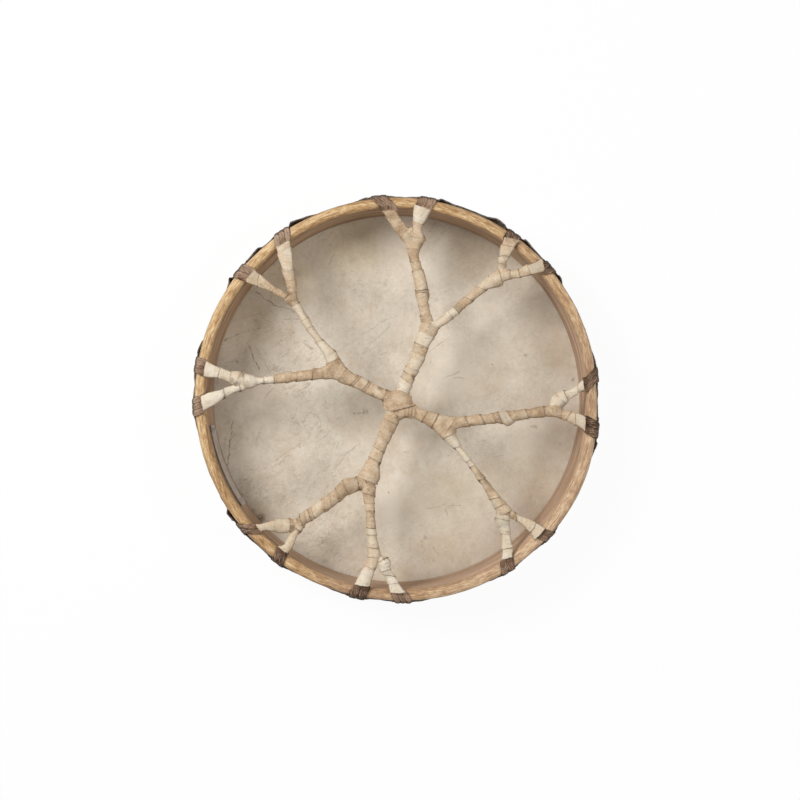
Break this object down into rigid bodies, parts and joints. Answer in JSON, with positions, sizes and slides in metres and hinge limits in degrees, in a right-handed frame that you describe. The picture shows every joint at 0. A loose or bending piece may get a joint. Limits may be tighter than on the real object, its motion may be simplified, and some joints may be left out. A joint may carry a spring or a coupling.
{
  "type": "shaman drum",
  "caption": "Hand-held frame drum: a rawhide head laced over a bent wood hoop, with a branching hand-hold web of wrapped laces across its open back",
  "frame": {"origin": "middle of the drumhead's outer face, on which the drum lies", "axes": "+Z points out of the open back along the drum's axis; seen from the back, +X is to the right and +Y is up in the picture"},
  "size_m": [0.4111, 0.4116, 0.0653],
  "materials": {
    "bent_wood": "bare, lightly rubbed, with rounded edges",
    "grey_metal": "dull grey sheet",
    "tack_metal": "domed heads",
    "drumhead_rawhide": "dried and stretched, veined and specked",
    "lace_rawhide": "dark dried lace",
    "pale_rawhide": "cream, dried tight",
    "branch_rawhide": "pale tan, dried tight",
    "tan_rawhide": "tan, dried tight",
    "hub_rawhide": "smooth, dried tight"
  },
  "bodies": {
    "root": {"hoop": "bent_wood", "joint_strip": "grey_metal", "tack_1": "tack_metal", "tack_2": "tack_metal", "tack_3": "tack_metal", "tack_4": "tack_metal", "drumhead": "drumhead_rawhide", "lace_01": "lace_rawhide", "lace_02": "lace_rawhide", "lace_03": "lace_rawhide", "lace_04": "lace_rawhide", "lace_05": "lace_rawhide", "lace_06": "lace_rawhide", "lace_07": "lace_rawhide", "lace_08": "lace_rawhide", "lace_09": "lace_rawhide", "lace_10": "lace_rawhide", "lace_11": "lace_rawhide", "lace_12": "lace_rawhide", "lace_13": "lace_rawhide", "lace_14": "lace_rawhide", "lace_15": "lace_rawhide", "lace_16": "lace_rawhide", "leg_wrap_01": "pale_rawhide", "leg_wrap_02": "pale_rawhide", "leg_wrap_03": "pale_rawhide", "leg_wrap_04": "pale_rawhide", "leg_wrap_05": "pale_rawhide", "leg_wrap_06": "pale_rawhide", "leg_wrap_07": "pale_rawhide", "leg_wrap_08": "pale_rawhide", "leg_wrap_09": "pale_rawhide", "leg_wrap_10": "pale_rawhide", "leg_wrap_11": "pale_rawhide", "leg_wrap_12": "pale_rawhide", "leg_wrap_13": "pale_rawhide", "leg_wrap_14": "pale_rawhide", "leg_wrap_15": "pale_rawhide", "leg_wrap_16": "pale_rawhide", "branch_wrap_1": "branch_rawhide", "branch_wrap_2": "branch_rawhide", "branch_wrap_3": "branch_rawhide", "branch_wrap_4": "branch_rawhide", "branch_wrap_5": "branch_rawhide", "branch_wrap_6": "branch_rawhide", "branch_wrap_7": "branch_rawhide", "branch_wrap_8": "branch_rawhide", "trunk_wrap_1": "tan_rawhide", "trunk_wrap_2": "tan_rawhide", "trunk_wrap_3": "tan_rawhide", "trunk_wrap_4": "tan_rawhide", "hub_wrap": "hub_rawhide"}
  },
  "joints": []
}
